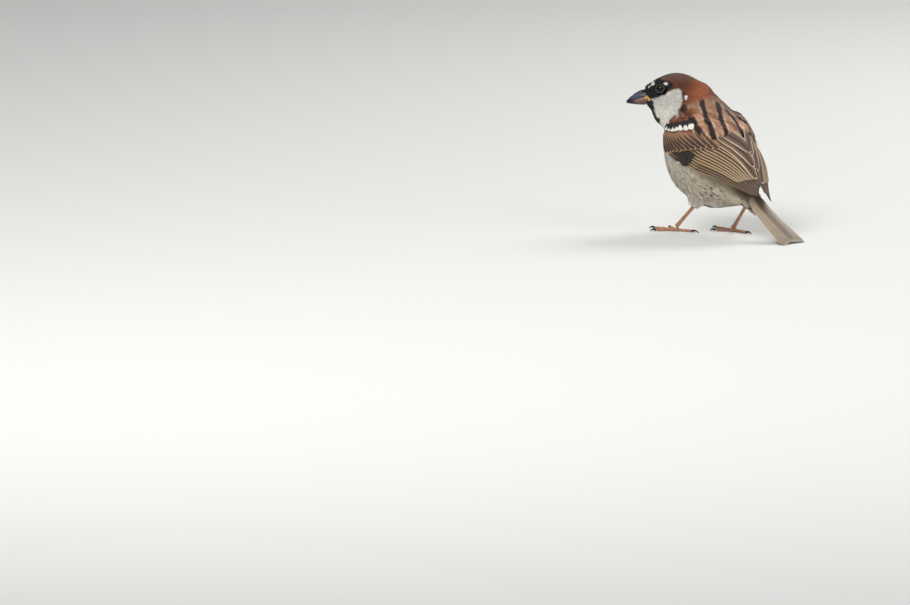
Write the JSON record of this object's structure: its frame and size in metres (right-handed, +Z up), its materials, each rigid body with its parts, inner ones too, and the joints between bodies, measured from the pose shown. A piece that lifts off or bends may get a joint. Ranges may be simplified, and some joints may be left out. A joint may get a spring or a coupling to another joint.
{
  "type": "house sparrow",
  "caption": "Still, life-size male house sparrow standing with its head turned over its left shoulder, wings folded and tail lowered to the ground.",
  "frame": {"origin": "on the ground, under the middle of the bird's bounding box", "axes": "+Z up; the bird's tail points to +X and its breast to -X; its left side faces -Y"},
  "size_m": [0.1162, 0.0576, 0.0943],
  "materials": {
    "crown_feathers": "short dull chestnut feathers with black face marks and a pale grey cheek",
    "mantle_feathers": "rufous feathers with bold black streaks",
    "belly_feathers": "soft off-white to buff-grey feathers, faintly streaked",
    "wing_feathers": "dark brown vanes with buff and chestnut edges",
    "bill_horn": "satin blue-black horn",
    "eye": "wet, glossy dark brown",
    "leg_scales": "pinkish-brown scaled skin",
    "claw_horn": "dark satin horn"
  },
  "bodies": {
    "root": {"bill_lower": "bill_horn", "bill_upper": "bill_horn", "claw_left_hind": "claw_horn", "claw_left_inner": "claw_horn", "claw_left_middle": "claw_horn", "claw_left_outer": "claw_horn", "claw_right_hind": "claw_horn", "claw_right_inner": "claw_horn", "claw_right_middle": "claw_horn", "claw_right_outer": "claw_horn", "eye_left": "eye", "eye_right": "eye", "foot_left": "leg_scales", "foot_right": "leg_scales", "head": "crown_feathers", "neck": "mantle_feathers", "tail": "wing_feathers", "tarsus_left": "leg_scales", "tarsus_right": "leg_scales", "thigh_left": "belly_feathers", "thigh_right": "belly_feathers", "toe_left_hind": "leg_scales", "toe_left_inner": "leg_scales", "toe_left_middle": "leg_scales", "toe_left_outer": "leg_scales", "toe_right_hind": "leg_scales", "toe_right_inner": "leg_scales", "toe_right_middle": "leg_scales", "toe_right_outer": "leg_scales", "trunk": "belly_feathers", "wing_left_primaries": "wing_feathers", "wing_left_secondaries": "wing_feathers", "wing_left_shoulder": "wing_feathers", "wing_right_primaries": "wing_feathers", "wing_right_secondaries": "wing_feathers", "wing_right_shoulder": "wing_feathers"}
  },
  "joints": []
}
